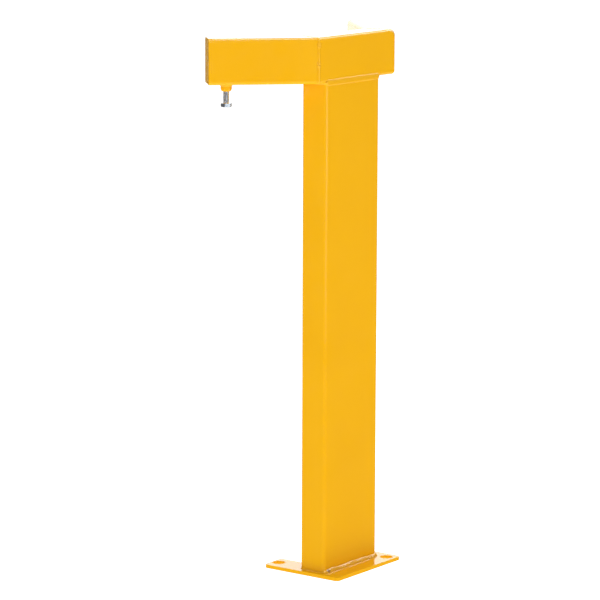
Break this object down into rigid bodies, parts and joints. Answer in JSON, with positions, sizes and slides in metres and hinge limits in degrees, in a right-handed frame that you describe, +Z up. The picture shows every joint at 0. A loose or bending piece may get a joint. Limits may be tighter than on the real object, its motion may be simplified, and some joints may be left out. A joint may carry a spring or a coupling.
{
  "type": "floor-mounted steel support post",
  "caption": "Welded steel floor post with a cut base plate and a cranked three-piece tube head that carries downward adjusting bolts, for holding safety equipment.",
  "frame": {"origin": "on the floor, where the centre line of the post meets the underside of the base plate", "axes": "+Z up along the post, X along the post's wide face, +Y to the back, the side the head's arms turn towards"},
  "size_m": [0.4666, 0.1986, 0.9008],
  "materials": {
    "powder_coat": "glossy golden yellow powder coat",
    "coated_weld": "weld bead under the same glossy powder coat",
    "zinc_steel": "bright zinc plate"
  },
  "bodies": {
    "frame": {"base_plate": "powder_coat", "post_tube": "powder_coat", "head_tube": "powder_coat", "post_foot_weld": "coated_weld", "post_head_weld": "coated_weld", "left_arm_tube": "powder_coat", "right_arm_tube": "powder_coat", "left_arm_cap": "powder_coat", "right_arm_cap": "powder_coat", "left_mitre_weld": "coated_weld", "right_mitre_weld": "coated_weld", "left_weld_nut": "powder_coat", "right_weld_nut": "powder_coat", "left_nut_weld": "coated_weld", "right_nut_weld": "coated_weld"},
    "left_bolt": {"left_jack_bolt": "zinc_steel"},
    "right_bolt": {"right_jack_bolt": "zinc_steel"}
  },
  "joints": [
    {"name": "left_bolt_height", "type": "slide", "parent": "frame", "child": "left_bolt", "axis": [0, 0, 1], "range_m": [-0.025, 0.0185]},
    {"name": "right_bolt_height", "type": "slide", "parent": "frame", "child": "right_bolt", "axis": [0, 0, 1], "range_m": [-0.025, 0.0185]}
  ]
}
